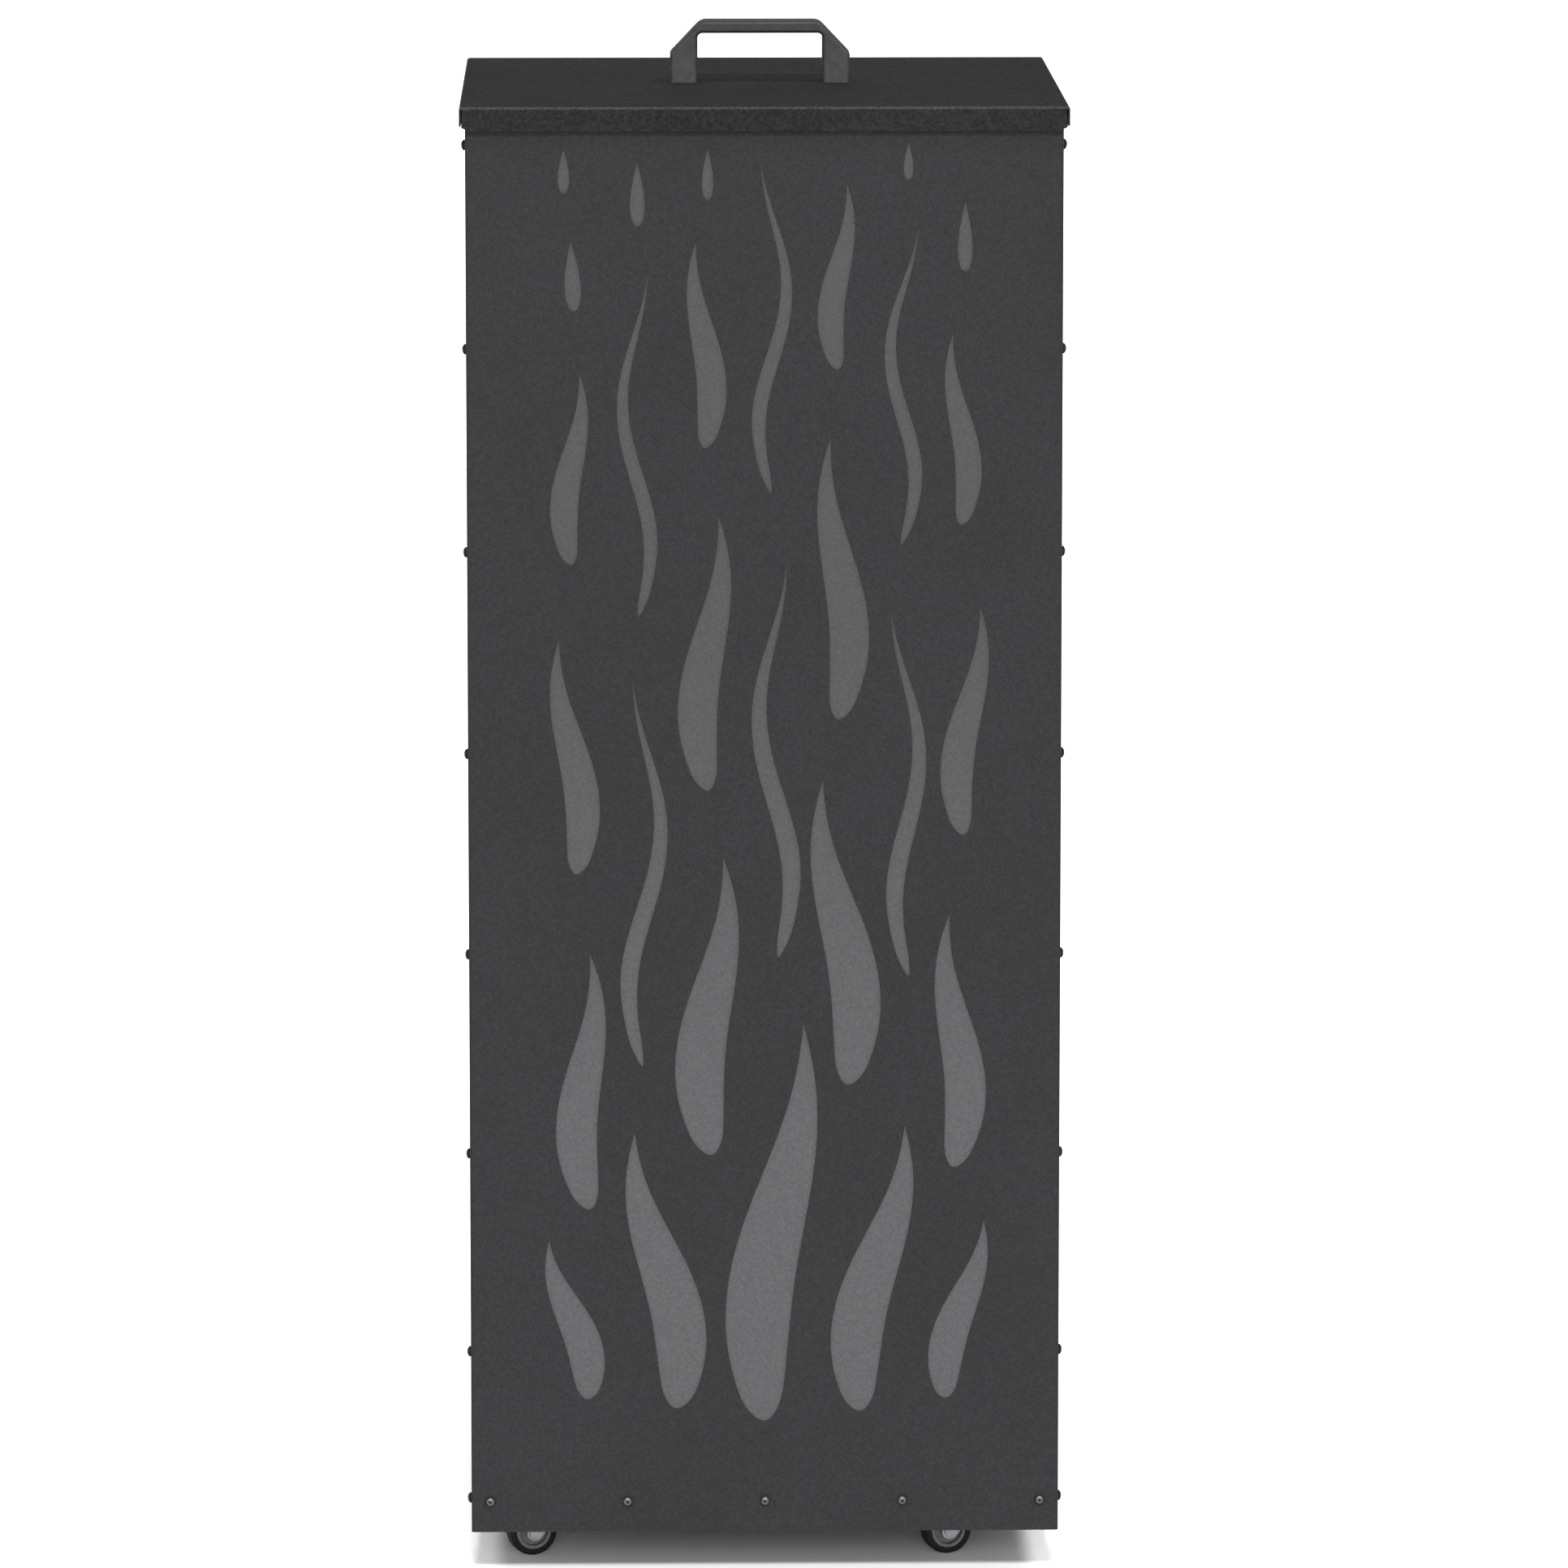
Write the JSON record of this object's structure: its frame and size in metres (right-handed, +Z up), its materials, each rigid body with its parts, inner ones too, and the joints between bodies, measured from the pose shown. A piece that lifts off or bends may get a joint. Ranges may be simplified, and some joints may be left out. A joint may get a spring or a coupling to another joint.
{
  "type": "pellet storage bin",
  "caption": "Tall square pellet bin of folded sheet metal with a cut-out front over a grey backing, a lift-off lid with a bridge handle, and swivel casters.",
  "frame": {"origin": "on the floor under the middle of the bin", "axes": "+Z up, -Y out of the front panel, +X to the right of someone facing the front"},
  "size_m": [0.367, 0.367, 0.9422],
  "materials": {
    "powder_coat": "fine-textured matt anthracite powder coat on steel sheet",
    "backing_grey": "satin mid-grey paint on steel sheet",
    "handle_plastic": "fine-grained moulded polyamide",
    "black_screws": "black-passivated steel, slightly glossy",
    "zinc_plate": "bright zinc-plated pressed steel",
    "hub_grey": "moulded grey plastic",
    "tyre": "soft black rubber",
    "brass": "machined brass"
  },
  "bodies": {
    "bin": {"front_panel": "powder_coat", "decor_backing": "backing_grey", "left_side_panel": "powder_coat", "right_side_panel": "powder_coat", "back_panel": "powder_coat", "floor_tray": "powder_coat", "front_floor_screws": "black_screws", "back_floor_screws": "black_screws", "left_side_screws": "black_screws", "right_side_screws": "black_screws", "caster_bolts": "zinc_plate", "caster_nuts": "zinc_plate", "front_left_caster_plate": "zinc_plate", "front_left_caster_king_pin": "zinc_plate", "front_left_caster_balls": "zinc_plate", "front_right_caster_plate": "zinc_plate", "front_right_caster_king_pin": "zinc_plate", "front_right_caster_balls": "zinc_plate", "rear_left_caster_plate": "zinc_plate", "rear_left_caster_king_pin": "zinc_plate", "rear_left_caster_balls": "zinc_plate", "rear_right_caster_plate": "zinc_plate", "rear_right_caster_king_pin": "zinc_plate", "rear_right_caster_balls": "zinc_plate"},
    "lid": {"lid_shell": "powder_coat", "lid_handle": "handle_plastic", "handle_inserts": "brass", "handle_washers": "zinc_plate", "handle_screws": "zinc_plate"},
    "front_left_swivel": {"front_left_caster_fork": "zinc_plate", "front_left_caster_axle": "zinc_plate"},
    "front_left_wheel": {"front_left_caster_hub": "hub_grey", "front_left_caster_tyre": "tyre"},
    "front_right_swivel": {"front_right_caster_fork": "zinc_plate", "front_right_caster_axle": "zinc_plate"},
    "front_right_wheel": {"front_right_caster_hub": "hub_grey", "front_right_caster_tyre": "tyre"},
    "rear_left_swivel": {"rear_left_caster_fork": "zinc_plate", "rear_left_caster_axle": "zinc_plate"},
    "rear_left_wheel": {"rear_left_caster_hub": "hub_grey", "rear_left_caster_tyre": "tyre"},
    "rear_right_swivel": {"rear_right_caster_fork": "zinc_plate", "rear_right_caster_axle": "zinc_plate"},
    "rear_right_wheel": {"rear_right_caster_hub": "hub_grey", "rear_right_caster_tyre": "tyre"}
  },
  "joints": [
    {"name": "lid_lift", "type": "slide", "parent": "bin", "child": "lid", "axis": [0, 0, 1], "range_m": [0, 0.4]},
    {"name": "front_left_caster_swivel", "type": "hinge", "parent": "bin", "child": "front_left_swivel", "pos_m": [-0.1285, -0.114, 0.0374], "axis": [0, 0, 1], "continuous": true},
    {"name": "front_left_wheel_spin", "type": "hinge", "parent": "front_left_swivel", "child": "front_left_wheel", "pos_m": [-0.14388, -0.11841, 0.015], "axis": [0.2756, -0.9613, 0], "continuous": true},
    {"name": "front_right_caster_swivel", "type": "hinge", "parent": "bin", "child": "front_right_swivel", "pos_m": [0.1285, -0.114, 0.0374], "axis": [0, 0, 1], "continuous": true},
    {"name": "front_right_wheel_spin", "type": "hinge", "parent": "front_right_swivel", "child": "front_right_wheel", "pos_m": [0.11312, -0.11841, 0.015], "axis": [0.2756, -0.9613, 0], "continuous": true},
    {"name": "rear_left_caster_swivel", "type": "hinge", "parent": "bin", "child": "rear_left_swivel", "pos_m": [-0.1285, 0.114, 0.0374], "axis": [0, 0, 1], "continuous": true},
    {"name": "rear_left_wheel_spin", "type": "hinge", "parent": "rear_left_swivel", "child": "rear_left_wheel", "pos_m": [-0.14388, 0.10959, 0.015], "axis": [0.2756, -0.9613, 0], "continuous": true},
    {"name": "rear_right_caster_swivel", "type": "hinge", "parent": "bin", "child": "rear_right_swivel", "pos_m": [0.1285, 0.114, 0.0374], "axis": [0, 0, 1], "continuous": true},
    {"name": "rear_right_wheel_spin", "type": "hinge", "parent": "rear_right_swivel", "child": "rear_right_wheel", "pos_m": [0.11312, 0.10959, 0.015], "axis": [0.2756, -0.9613, 0], "continuous": true}
  ]
}
